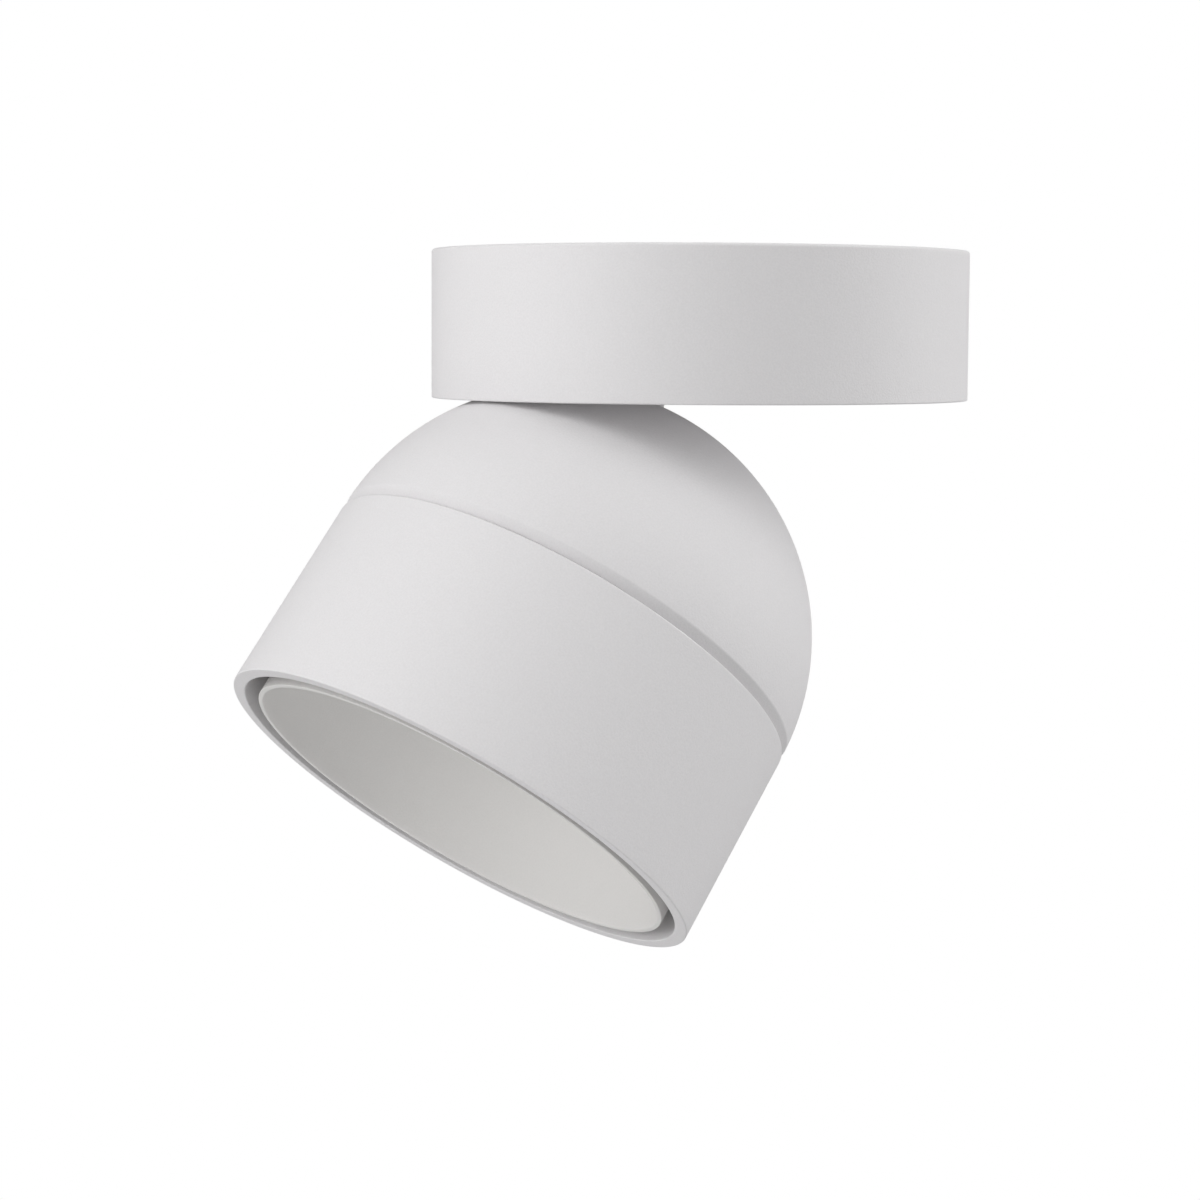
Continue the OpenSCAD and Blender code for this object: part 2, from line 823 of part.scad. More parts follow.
module live_wire() {
    color("saddlebrown")
        wire([
            [block_face - 3, pole_pitch, pole_z],
            [block_face + 0.5, pole_pitch + 1, pole_z + 0.5],
            round_well * [-0.8, 0.6, 0] + [0, 0, -15.6],
            round_well * [-0.5, 0.87, 0] + [0, 0, -15],
            round_well * [0, 1, 0] + [0, 0, -15],
            round_well * [0.42, 0.91, 0] + [0, 0, -16],
            [driver_in[0] - 8, driver_in[1] + 1.6, driver_in[2] + 0.6],
            [driver_in[0] - 4, driver_in[1], driver_in[2]], driver_in
        ], wire_r, 3);
}

module neutral_wire() {
    last = driver_in - [0, mains_pitch, 0];
    color("royalblue")
        wire([
            [block_face - 3, 0, pole_z],
            [block_face + 0.5, 1, pole_z + 0.5],
            [0.9 - round_well, 4, over_roof + 0.4],
            [-26, 9, over_roof + 1], [-19, 16, over_roof + 0.5],
            [-10, 21, over_roof + 0.5], [0, 22.5, over_roof + 0.5],
            [12, 21, over_roof + 0.5], [21, 19, over_roof + 0.3],
            [last[0] - 4.8, last[1] + 0.5, last[2] + 1.2],
            [last[0] - 3, last[1], last[2]], last
        ], wire_r, 3);
}

module earth_wire() {
    top = floor_z + earth_boss_h + 1.8;
    color("yellowgreen")
        wire([
            [block_face - 3, -pole_pitch, pole_z],
            [block_face + 0.5, -pole_pitch - 1, pole_z],
            round_well * [-0.84, -0.54, 0] + [0, 0, pole_z],
            [-25, -24.5, pole_z], [earth_at[0], earth_at[1] + 7, top],
            [earth_at[0], earth_at[1] + 4, top]
        ], wire_r, 3);
}

// Two-core lead from the driver over the swivel's nut and down into its hollow tube
module driver_lead() {
    color("gainsboro")
        wire([
            driver_out, driver_out + [-4.2, 0.3, 0.3],
            [25.5, -19.8, -15], [20.5, -17.5, roof_z + 2.6], [13, -11.5, pan_top - 3],
            [8.6, -7.6, pan_top + 1], [4.5, -4, pan_top + 2.4],
            [1.2, -1, pan_top + 1.4], [0, 0, pan_top - 1.5],
            [0, 0, pan_top - 7], [0, 0, yoke_top - 2]
        ], lead_r, 4);
}

// The lead goes on below, turning with the swivel, and ends beside the tilt pin
module swivel_lead() {
    color("gainsboro")
        wire([
            [0, 0, yoke_top - 2.3],
            for (turn = [0 : 22.5 : 90])
                [-lead_bend * (1 - cos(turn)), 0, pin_z + lead_bend * (1 - sin(turn))],
            [-9, 0, pin_z], [-13, 0, pin_z], [-pin_offset + lead_r + 1, 0, pin_z]
        ], lead_r, 3);
}

// Swivel

module swivel_yoke() {
    color("whitesmoke")
        difference() {
            union() {
                rod(yoke_r, yoke_under, yoke_top);
                for (side = [-1, 1])
                    translate([-pin_offset, side * (ear_in + ear_out) / 2, 0]) {
                        block([yoke_ear_w, yoke_ear_t], [0, 0], pin_z, yoke_under + over / 2);
                        translate([0, yoke_ear_t / 2, pin_z])
                            rotate([90, 0, 0])
                                cylinder(h = yoke_ear_t, r = yoke_ear_w / 2);
                    }
            }
            rod(pan_r + fit / 2, yoke_under - over, yoke_top + over);
            translate([-pin_offset, yoke_gap, pin_z])
                rotate([90, 0, 0])
                    cylinder(h = 2 * yoke_gap, r = tilt_screw_r + turn_fit);
        }
}

module pan_tube() {
    color("silver")
        difference() {
            union() {
                rod(pan_r, yoke_under - pan_flange_t, pan_top);
                rod(pan_flange_r, yoke_under - pan_flange_t, yoke_under);
            }
            rod(pan_bore / 2, yoke_under - pan_flange_t - over, pan_top + over);
        }
}

module pan_stop_ring() {
    color("silver")
        difference() {
            union() {
                rod(stop_ring_r, stop_ring_z, stop_ring_z + stop_ring_t);
                block([lug_reach, lug_w], [lug_reach / 2, 0],
                    stop_ring_z, stop_ring_z + stop_ring_t);
            }
            rod(pan_r + fit / 2, stop_ring_z - over, stop_ring_z + stop_ring_t + over);
        }
}

module pan_spring_washer() {
    inner = pan_r + 0.3;
    outer = pan_r + 3.8;
    color("gray")
        rotate_extrude()
            polygon([
                [inner, nut_z - spring_t], [inner, nut_z],
                [inner + 0.6, nut_z],
                [outer, spring_z + spring_t], [outer, spring_z],
                [outer - 0.6, spring_z]
            ]);
}

module pan_nut() {
    color("silver")
        difference() {
            hex(nut_af, nut_z, nut_z + nut_h);
            rod(pan_r + fit / 2, nut_z - over, nut_z + nut_h + over);
        }
}

// Rings and screws on the tilt pin's line, one on each side
module on_hinge() {
    in_head()
        up_arm()
            translate([0, 0, arm])
                for (side = [0, 180])
                    rotate(side)
                        rotate([-90, 0, 0])
                            children();
}

module hinge_friction_washers() {
    color("ivory")
        on_hinge()
            ring(tilt_screw_r + 2.4, tilt_screw_r + 0.1, prong_out, ear_in - slip);
}

module hinge_spring_washers() {
    inner = tilt_screw_r + 0.1;
    outer = tilt_screw_r + 2.4;
    low = ear_out + slip;
    color("gray")
        on_hinge()
            rotate_extrude()
                polygon([
                    [inner, low + hinge_spring_t - 0.4], [inner, low + hinge_spring_t],
                    [inner + 0.4, low + hinge_spring_t],
                    [outer, low + 0.4], [outer, low], [outer - 0.4, low]
                ]);
}

module tilt_screws() {
    seat = ear_out + slip + hinge_spring_t;
    color("silver")
        on_hinge()
            translate([0, 0, seat])
                cap_screw(tilt_screw_r, tilt_head_r, tilt_head_h, seat - prong_in);
}

module at_stem_screws() {
    in_head()
        up_arm()
            for (turn = [0 : stem_screw_count - 1])
                rotate(45 + 360 * turn / stem_screw_count)
                    translate([stem_screw_r, 0, 0])
                        children();
}

module head_stem() {
    color("whitesmoke")
        difference() {
            in_head()
                up_arm()
                    difference() {
                        union() {
                            rod(neck_r, stem_under + over, neck_top);
                            rod(stem_flange_r, stem_under, stem_seat);
                            for (side = [-1, 1])
                                translate([0, side * (prong_in + prong_out) / 2, 0]) {
                                    block([prong_w, prong_t], [0, 0], neck_top - 0.5, arm);
                                    translate([0, prong_t / 2, arm])
                                        rotate([90, 0, 0])
                                            cylinder(h = prong_t, r = prong_w / 2);
                                }
                        }
                        rod(neck_bore_r, stem_under - over, neck_top + over);
                        translate([0, yoke_gap, arm])
                            rotate([90, 0, 0])
                                cylinder(h = 2 * yoke_gap, r = tilt_screw_r + fit / 2);
                    }
            at_stem_screws()
                rod(1.5 + fit, stem_under - over, stem_seat + over);
        }
}

module stem_screws() {
    color("silver")
        at_stem_screws()
            translate([0, 0, stem_under])
                rotate([180, 0, 0])
                    cap_screw(1.5, 2.5, 1.8, stem_flange_t + 2.2);
}

// Head shells

module dome_solid() {
    bevel_r = sqrt(pow(dome_r, 2) - pow(bevel_start_l, 2));
    intersection() {
        sphere(r = dome_r, $fn = 180);
        union() {
            head_rod(dome_r + over, -dome_r - over, bevel_start_l);
            translate([0, 0, head_z(dome_front_l)])
                cylinder(h = dome_front_l - bevel_start_l + 0.01, r1 = dome_r - dome_bevel_r,
                    r2 = bevel_r);
        }
    }
}

module dome_hollow() {
    intersection() {
        sphere(r = dome_in, $fn = 180);
        head_rod(dome_r, -dome_r, 0);
        up_arm()
            rod(dome_r, -dome_r, stem_seat);
    }
    head_rod(spigot_r - spigot_t, -over / 2, spigot_l + over);
}

module dome_housing() {
    color("whitesmoke")
        in_head()
            difference() {
                union() {
                    difference() {
                        union() {
                            dome_solid();
                            head_rod(spigot_r, dome_front_l - over / 2, spigot_l);
                        }
                        dome_hollow();
                    }
                    intersection() {
                        union() {
                            for (turn = [0 : 2])
                                rotate(60 + 120 * turn) {
                                    translate([tube_screw_r, 0, 0])
                                        head_rod(boss_r, -12, spigot_l);
                                    translate([sink_boss_r, 0, 0])
                                        head_rod(sink_boss_size, -dome_r, sink_back_l + 0.1);
                                }
                        }
                        union() {
                            sphere(r = dome_in + 0.5, $fn = 180);
                            head_rod(spigot_r, 0, spigot_l);
                        }
                    }
                }
                up_arm() {
                    rod(neck_r + fit, stem_seat - over, dome_r + over);
                    for (turn = [0 : stem_screw_count - 1])
                        rotate(45 + 360 * turn / stem_screw_count)
                            translate([stem_screw_r, 0, 0])
                                rod(1.5 + fit, stem_seat - over, stem_seat + 2.8);
                }
                for (turn = [0 : 2])
                    rotate(60 + 120 * turn) {
                        translate([tube_screw_r, 0, 0])
                            head_rod(1.5 + fit, -9, spigot_l + over);
                        translate([sink_boss_r, 0, 0])
                            head_rod(1.5 + fit, sink_back_l - 8, sink_back_l + over);
                    }
            }
}

module front_tube() {
    edge = 0.4;
    color("whitesmoke")
        in_head()
            difference() {
                turned([
                    [tube_in, tube_rear_l], [tube_rear_r - edge, tube_rear_l],
                    [tube_rear_r, tube_rear_l + edge],
                    [tube_front_r, tube_front_l - edge],
                    [tube_front_r - edge, tube_front_l],
                    [tube_in + edge, tube_front_l], [tube_in, tube_front_l - edge],
                    [tube_in, plate_l], [tube_flange_in, plate_l],
                    [tube_flange_in, spigot_l], [tube_in, spigot_l]
                ]);
                for (turn = [0 : 2])
                    rotate(60 + 120 * turn)
                        translate([tube_screw_r, 0, 0])
                            head_rod(1.6, spigot_l - over, plate_l + over);
            }
}

module tube_screws() {
    color("silver")
        in_head()
            for (turn = [0 : 2])
                rotate(60 + 120 * turn)
                    translate([tube_screw_r, 0, 0])
                        head_screw(plate_l + plate_t, 1.5, 2.6, 2, plate_t + tube_flange_t + 7);
}

// Light engine and cooling

module fins() {
    count = floor((sink_r - fin_t) / fin_pitch);
    intersection() {
        union() {
            for (row = [-count : count - 1])
                translate([0, (row + 0.5) * fin_pitch, 0])
                    block([2 * sink_r, fin_t], [0, 0], head_z(sink_back_l + 0.3),
                        head_z(fin_end_l));
        }
        translate([0, 0, head_z(sink_back_l + 0.3)])
            cylinder(h = sink_back_l + 0.3 - fin_end_l, r1 = sink_r - 0.4, r2 = fin_tip_r);
    }
}

module heat_sink() {
    color("darkgray")
        in_head()
            difference() {
                union() {
                    head_rod(sink_r, sink_back_l, sink_face_l);
                    fins();
                }
                for (turn = [0 : 2])
                    rotate(60 + 120 * turn)
                        translate([sink_boss_r, 0, 0]) {
                            head_rod(sink_boss_size + 1, fin_end_l - over, sink_back_l + 0.1);
                            head_rod(1.6, sink_back_l - over, sink_face_l + over);
                        }
                translate([lead_hole_x, 0, 0])
                    head_rod(lead_hole_r, sink_back_l - over, sink_face_l + over);
                for (side = [-1, 1])
                    translate([0, side * chip_screw_r, 0])
                        head_rod(1.25 + fit, sink_back_l + 0.8, sink_face_l + over);
            }
}

module heat_sink_screws() {
    color("silver")
        in_head()
            for (turn = [0 : 2])
                rotate(60 + 120 * turn)
                    translate([sink_boss_r, 0, 0])
                        head_screw(sink_face_l, 1.5, 2.6, 2, sink_t + 7);
}

module thermal_pad() {
    color("lightsteelblue")
        in_head()
            block([chip_w, chip_w], [0, 0], head_z(sink_face_l + pad_t), head_z(sink_face_l));
}

module led_chip() {
    low = sink_face_l + pad_t;
    color("gainsboro")
        in_head()
            block([chip_w, chip_w], [0, 0], head_z(low + chip_t), head_z(low));
}

module led_emitter() {
    low = sink_face_l + pad_t + chip_t;
    color("gold")
        in_head()
            head_rod(emitter_d / 2, low, low + emitter_t);
}

module chip_holder() {
    recess_l = sink_face_l + pad_t + chip_t + 0.1;
    color("white")
        in_head()
            difference() {
                turned([
                    [reflector_small_r, sink_face_l], [chip_holder_d / 2, sink_face_l],
                    [chip_holder_d / 2, chip_holder_l - 1],
                    [chip_holder_d / 2 - 1, chip_holder_l],
                    [reflector_small_r, chip_holder_l]
                ]);
                block([chip_w + 0.4, chip_w + 0.4], [0, 0], head_z(recess_l),
                    head_z(sink_face_l - over));
                for (side = [-1, 1]) {
                    translate([0, side * chip_screw_r, 0])
                        head_rod(1.35, sink_face_l - over, chip_holder_l + over);
                    translate([core_x, side * 3, 0])
                        head_rod(core_r + 0.15, recess_l, chip_holder_l + over);
                }
            }
}

module chip_holder_screws() {
    color("silver")
        in_head()
            for (side = [-1, 1])
                translate([0, side * chip_screw_r, 0])
                    head_screw(chip_holder_l, 1.25, chip_head_r, chip_head_h,
                        chip_holder_h + sink_t - 1.2);
}

module reflector() {
    inner = [
        for (i = [0 : reflector_steps])
            let (t = pow(i / reflector_steps, 2))
            [reflector_radius(t), chip_holder_l + (lens_l - chip_holder_l) * t]
    ];
    outer = [
        for (i = [reflector_steps : -1 : 0])
            let (t = pow(i / reflector_steps, 2))
            [reflector_radius(t) + reflector_wall,
            chip_holder_l + (reflector_l - chip_holder_l) * t]
    ];
    color("silver")
        in_head()
            turned(concat(inner, [[lens_d / 2, lens_l], [lens_d / 2, reflector_l]], outer));
}

module lens() {
    color([0.9, 0.93, 0.95, 0.5])
        in_head()
            head_rod(lens_d / 2, lens_l, lens_l + lens_t);
}

module optic_plate() {
    groove_r = collar_r - seal_d * 0.9;
    color([0.2, 0.2, 0.2])
        in_head()
            difference() {
                turned([
                    [collar_in, collar_rear_l], [collar_r, collar_rear_l],
                    [collar_r, plate_l], [plate_r, plate_l],
                    [plate_r, plate_l + plate_t], [collar_r, plate_l + plate_t],
                    [collar_r, seal_l - seal_d / 2], [groove_r, seal_l - seal_d / 2],
                    [groove_r, seal_l + seal_d / 2], [collar_r, seal_l + seal_d / 2],
                    [collar_r, collar_front_l], [collar_lip_in + 1.5, collar_front_l],
                    [collar_lip_in, collar_lip_l + collar_lip_t], [collar_lip_in, collar_lip_l],
                    [collar_in, collar_lip_l]
                ]);
                for (turn = [0 : 2])
                    rotate(60 + 120 * turn)
                        translate([tube_screw_r, 0, 0])
                            head_rod(1.6, plate_l - over, plate_l + plate_t + over);
            }
}

module cup_seal_ring() {
    color([0.15, 0.15, 0.15])
        in_head()
            translate([0, 0, head_z(seal_l)])
                rotate_extrude()
                    translate([collar_r - seal_d * 0.38, 0])
                        circle(d = seal_d * 0.98, $fn = 24);
}

// The cup's side: a straight line from opening to lip, bowed outwards
function cup_side(t, set_out) =
    let (
        low = [aperture_r, cup_rear_l],
        high = [cup_lip_in - 0.4, cup_front_l - 0.4],
        along = high - low,
        out = [along[1], -along[0]] / norm(along)
    )
    low + along * t + out * (cup_bow * 4 * t * (1 - t) + set_out);

module anti_glare_cup() {
    inside = [for (i = [0 : cup_steps]) cup_side(i / cup_steps, 0)];
    outside = [
        for (i = [cup_steps - 1 : -1 : 0])
            let (p = cup_side(i / cup_steps, cup_wall))
            if (p[1] < cup_collar_l && p[0] > neck_in + 2.2) p
    ];
    color("whitesmoke")
        in_head()
            turned(concat(inside, [
                [cup_lip_in, cup_front_l], [cup_r - 0.5, cup_front_l],
                [cup_r, cup_front_l - 0.5], [cup_r, cup_collar_l],
                [cup_r - cup_wall, cup_collar_l]
            ], outside, [
                [neck_in + 1.8, cup_rear_l + 2.5], [neck_in + 1.8, plate_l + plate_t + 0.5],
                [neck_in, plate_l + plate_t + 0.5], [neck_in, cup_rear_l]
            ]));
}

// Lead from the tilt pin through the neck, between the fins and through the heat sink
along_arm = [-sin(arm_lean), 0, cos(arm_lean)];

module head_lead() {
    color("gainsboro")
        in_head()
            wire([
                along_arm * arm, along_arm * (arm - 5), along_arm * stem_seat,
                along_arm * (stem_under - 1), along_arm * (stem_under - 5) - [0.6, 0, 0],
                [0.8 * lead_hole_x, 0, head_z(sink_back_l - 8)],
                [lead_hole_x, 0, head_z(sink_back_l - 2)],
                [lead_hole_x, 0, head_z(sink_face_l + 1.4)]
            ], lead_r, 4);
}

module core(side) {
    in_head()
        wire([
            [lead_hole_x, side * 0.75, head_z(sink_face_l + 1.55)],
            [lead_hole_x + 0.2, side * 0.9, head_z(sink_face_l + 3)],
            [lead_hole_x + 3, side * 1.6, head_z(chip_holder_l + 0.8)],
            [core_x - 1.4, side * 2.6, head_z(chip_holder_l + 2)],
            [core_x, side * 3, head_z(chip_holder_l + 1)],
            [core_x, side * 3, head_z(chip_holder_l - 1.6)]
        ], core_r, 3);
}

module positive_core() {
    color("firebrick")
        core(1);
}

module negative_core() {
    color([0.15, 0.15, 0.15])
        core(-1);
}

base_housing();
ceiling_bracket();
cable_grommet();
base_set_screws();
pan_stop_pin();
pan_thrust_washers();
terminal_block();
terminal_tubes();
terminal_screws();
terminal_fixing_screws();
driver_tray();
driver_lid();
driver_board();
driver_transformer();
driver_capacitors();
driver_screws();
cable_clamp();
clamp_screws();
earth_screw();
earth_washer();
live_wire();
neutral_wire();
earth_wire();
driver_lead();
swivel_yoke();
pan_tube();
pan_stop_ring();
pan_spring_washer();
pan_nut();
hinge_friction_washers();
hinge_spring_washers();
tilt_screws();
head_stem();
stem_screws();
swivel_lead();
dome_housing();
front_tube();
tube_screws();
heat_sink();
heat_sink_screws();
thermal_pad();
led_chip();
led_emitter();
chip_holder();
chip_holder_screws();
reflector();
lens();
optic_plate();
cup_seal_ring();
anti_glare_cup();
head_lead();
positive_core();
negative_core();
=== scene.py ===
import json
import math

import bpy
from mathutils import Matrix, Vector


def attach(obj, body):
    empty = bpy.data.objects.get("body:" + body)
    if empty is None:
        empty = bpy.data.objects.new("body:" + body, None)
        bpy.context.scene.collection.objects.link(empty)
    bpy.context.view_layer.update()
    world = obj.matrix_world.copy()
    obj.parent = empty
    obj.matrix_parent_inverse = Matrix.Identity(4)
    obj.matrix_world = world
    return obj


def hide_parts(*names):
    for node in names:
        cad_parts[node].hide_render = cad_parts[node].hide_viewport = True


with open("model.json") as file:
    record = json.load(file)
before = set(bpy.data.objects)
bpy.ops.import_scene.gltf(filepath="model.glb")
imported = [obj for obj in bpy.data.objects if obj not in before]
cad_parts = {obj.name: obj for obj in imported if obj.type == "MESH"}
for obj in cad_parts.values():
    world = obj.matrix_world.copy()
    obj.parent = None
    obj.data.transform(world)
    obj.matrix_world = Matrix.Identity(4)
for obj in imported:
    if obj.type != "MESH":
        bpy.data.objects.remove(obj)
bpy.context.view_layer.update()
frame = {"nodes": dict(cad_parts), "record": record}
nodes = frame["nodes"]
mm = 0.001

# Steps round turned pieces, posts and screw holes, and the places of what comes in threes
fineTurn = 256
midTurn = 96
smallTurn = 48
screwTurn = 32
thirds = (60, 180, 300)

# The head hangs on the tilt pin, beside the middle of the base, and leans towards -X
headHang = {
    "pinOffset": 19.5,
    "pinHeight": -26.5,
    "domeDrop": 58.1,
    "tilt": 37.067,
}
armLean = math.atan2(headHang["pinOffset"], headHang["domeDrop"])


def headPlace():
    h = headHang
    toPin = Matrix.Translation(Vector((-h["pinOffset"], 0, h["pinHeight"])) * mm)
    toDome = Matrix.Translation(Vector((h["pinOffset"], 0, -h["domeDrop"])) * mm)
    return toPin @ Matrix.Rotation(math.radians(h["tilt"]), 4, "Y") @ toDome


def clearSelection():
    if bpy.context.mode != "OBJECT":
        bpy.ops.object.mode_set(mode="OBJECT")
    bpy.ops.object.select_all(action="DESELECT")


def pick(piece):
    clearSelection()
    piece.select_set(True)
    bpy.context.view_layer.objects.active = piece


def selectNear(piece, point, reach=0.02 * mm):
    # Selects the outline's corner at a place
    bpy.ops.mesh.select_all(action="DESELECT")
    bpy.ops.object.mode_set(mode="OBJECT")
    for v in piece.data.vertices:
        v.select = (v.co - point).length < reach
    bpy.ops.object.mode_set(mode="EDIT")


lathe = {
    "roundingSteps": 5,
    "sameCorner": 1e-7,
    "sameVertex": 2e-7,
}


def turnOnLathe(name, corners, closed=True):
    # Corners are (radius, height, rounding) in mm. The outline is drawn, rounded and spun.
    points = [Vector((c[0], 0, c[1])) * mm for c in corners]
    clearSelection()
    bpy.ops.mesh.primitive_plane_add(size=mm)
    piece = bpy.context.object
    piece.name = name
    piece.data.name = name
    bpy.ops.object.mode_set(mode="EDIT")
    bpy.ops.mesh.select_mode(type="VERT")
    bpy.ops.mesh.merge(type="CENTER")
    bpy.ops.transform.translate(value=points[0])
    route = points[1:] + (points[:1] if closed else [])
    here = points[0]
    for p in route:
        bpy.ops.mesh.extrude_region_move(TRANSFORM_OT_translate={"value": p - here})
        here = p
    bpy.ops.mesh.select_all(action="SELECT")
    bpy.ops.mesh.remove_doubles(threshold=lathe["sameCorner"])
    for c, p in zip(corners, points):
        if len(c) > 2 and c[2]:
            selectNear(piece, p)
            bpy.ops.mesh.bevel(offset=c[2] * mm, segments=lathe["roundingSteps"],
                               affect="VERTICES", clamp_overlap=True)
    bpy.ops.mesh.select_all(action="SELECT")
    bpy.ops.mesh.spin(steps=fineTurn, angle=2 * math.pi, center=(0, 0, 0), axis=(0, 0, 1))
    bpy.ops.mesh.select_all(action="SELECT")
    bpy.ops.mesh.remove_doubles(threshold=lathe["sameVertex"])
    bpy.ops.mesh.normals_make_consistent(inside=False)
    bpy.ops.object.mode_set(mode="OBJECT")
    return piece


def weldSkin(piece, reach=0.001 * mm):
    # Welds what the cuts leave closer together than a micron
    pick(piece)
    bpy.ops.object.mode_set(mode="EDIT")
    bpy.ops.mesh.select_mode(type="VERT")
    bpy.ops.mesh.select_all(action="SELECT")
    bpy.ops.mesh.remove_doubles(threshold=reach)
    bpy.ops.mesh.dissolve_degenerate(threshold=reach)
    bpy.ops.object.mode_set(mode="OBJECT")


shading = {
    "angle": 32,
    "weight": 80,
}


def softShade(piece):
    weldSkin(piece)
    pick(piece)
    bpy.ops.object.shade_smooth_by_angle(angle=math.radians(shading["angle"]))
    # Broad faces lead the shading, so the fine roundings stay crisp
    weigh = piece.modifiers.new("weigh", "WEIGHTED_NORMAL")
    weigh.keep_sharp = True
    weigh.weight = shading["weight"]
    bpy.ops.object.modifier_apply(modifier=weigh.name)


def combine(piece, tool, how):
    pick(piece)
    cut = piece.modifiers.new("cut", "BOOLEAN")
    cut.operation = how
    cut.solver = "EXACT"
    cut.object = tool
    bpy.ops.object.modifier_apply(modifier=cut.name)
    bpy.data.objects.remove(tool, do_unlink=True)


def barrel(radius, low, high, at=(0, 0), sides=64):
    clearSelection()
    bpy.ops.mesh.primitive_cylinder_add(
        vertices=sides, radius=radius * mm, depth=(high - low) * mm,
        location=(at[0] * mm, at[1] * mm, (low + high) / 2 * mm))
    tool = bpy.context.object
    bpy.ops.object.transform_apply(location=True, rotation=True, scale=True)
    return tool


def brick(size, centre, low, high, turn=0):
    clearSelection()
    bpy.ops.mesh.primitive_cube_add(
        size=1, location=(centre[0] * mm, centre[1] * mm, (low + high) / 2 * mm),
        rotation=(0, 0, math.radians(turn)),
        scale=(size[0] * mm, size[1] * mm, (high - low) * mm))
    tool = bpy.context.object
    bpy.ops.object.transform_apply(location=True, rotation=True, scale=True)
    return tool


def moveMesh(piece, matrix):
    pick(piece)
    piece.matrix_world = matrix @ piece.matrix_world
    bpy.ops.object.transform_apply(location=True, rotation=True, scale=True)


def polar(radius, degrees):
    return (radius * math.cos(math.radians(degrees)), radius * math.sin(math.radians(degrees)))


def newFinish(name):
    finish = bpy.data.materials.new(name)
    finish.use_nodes = True
    shader = finish.node_tree.nodes["Principled BSDF"]
    return finish, finish.node_tree, shader


def objectNoise(tree, scale, detail=3.0, stretch=None):
    place = tree.nodes.new("ShaderNodeTexCoord")
    noise = tree.nodes.new("ShaderNodeTexNoise")
    noise.inputs["Scale"].default_value = scale
    noise.inputs["Detail"].default_value = detail
    if stretch:
        mapping = tree.nodes.new("ShaderNodeMapping")
        mapping.inputs["Scale"].default_value = stretch
        tree.links.new(place.outputs["Object"], mapping.inputs["Vector"])
        tree.links.new(mapping.outputs["Vector"], noise.inputs["Vector"])
    else:
        tree.links.new(place.outputs["Object"], noise.inputs["Vector"])
    return noise


def toneFrom(tree, source, low, high, shader, start=0.3, end=0.7):
    ramp = tree.nodes.new("ShaderNodeValToRGB")
    ramp.color_ramp.elements[0].position = start
    ramp.color_ramp.elements[1].position = end
    ramp.color_ramp.elements[0].color = (*low, 1)
    ramp.color_ramp.elements[1].color = (*high, 1)
    tree.links.new(source, ramp.inputs["Fac"])
    tree.links.new(ramp.outputs["Color"], shader.inputs["Base Color"])
    return ramp


def roughFrom(tree, source, low, high, shader):
    spread = tree.nodes.new("ShaderNodeMapRange")
    spread.inputs["To Min"].default_value = low
    spread.inputs["To Max"].default_value = high
    tree.links.new(source, spread.inputs["Value"])
    tree.links.new(spread.outputs["Result"], shader.inputs["Roughness"])


def bumpFrom(tree, source, depth, shader, strength=1.0, under=None):
    bump = tree.nodes.new("ShaderNodeBump")
    bump.inputs["Strength"].default_value = strength
    bump.inputs["Distance"].default_value = depth
    tree.links.new(source, bump.inputs["Height"])
    if under:
        tree.links.new(under.outputs["Normal"], bump.inputs["Normal"])
    tree.links.new(bump.outputs["Normal"], shader.inputs["Normal"])
    return bump


def shade(colour, factor):
    return tuple(min(1.0, c * factor) for c in colour)


def patchTones(tree, size, colour, spots, shader):
    # Broad patches, a little lighter and darker than the colour
    broad = objectNoise(tree, size, 2.0)
    toneFrom(tree, broad.outputs["Fac"], shade(colour, 1 - spots), shade(colour, 1 + spots),
             shader)


# Powder coat: a fine sandy grain over a soft orange peel
powderCoat = {
    "colour": (0.80, 0.787, 0.795),
    "grainSize": 2600.0,
    "grainDepth": 0.00005,
    "peelSize": 420.0,
    "peelDepth": 0.00004,
    "grainTone": 0.022,
    "roughLow": 0.50,
    "roughHigh": 0.64,
    "mirror": 0.35,
}


def makePowderCoat(name, values):
    finish, tree, shader = newFinish(name)
    grain = objectNoise(tree, values["grainSize"], 2.0)
    peel = objectNoise(tree, values["peelSize"], 2.0)
    toneFrom(tree, grain.outputs["Fac"], shade(values["colour"], 1 - values["grainTone"]),
             shade(values["colour"], 1 + values["grainTone"]), shader)
    roughFrom(tree, peel.outputs["Fac"], values["roughLow"], values["roughHigh"], shader)
    under = bumpFrom(tree, peel.outputs["Fac"], values["peelDepth"], shader)
    bumpFrom(tree, grain.outputs["Fac"], values["grainDepth"], shader, under=under)
    shader.inputs["Specular IOR Level"].default_value = values["mirror"]
    return finish


metal = {
    "patchSize": 260.0,
    "roughSpread": 0.25,
}


def makeMetal(name, colour, rough, grain, depth, stretch=None, spots=0.06, glance=1.0):
    # Glance darkens what the metal mirrors at a shallow angle
    finish, tree, shader = newFinish(name)
    fine = objectNoise(tree, grain, 4.0, stretch)
    patchTones(tree, metal["patchSize"], colour, spots, shader)
    roughFrom(tree, fine.outputs["Fac"], rough * (1 - metal["roughSpread"]),
              rough * (1 + metal["roughSpread"]), shader)
    bumpFrom(tree, fine.outputs["Fac"], depth, shader)
    shader.inputs["Metallic"].default_value = 1.0
    shader.inputs["Specular Tint"].default_value = (glance, glance, glance, 1)
    return finish


plastic = {
    "patchSize": 180.0,
    "roughSpread": 0.07,
}


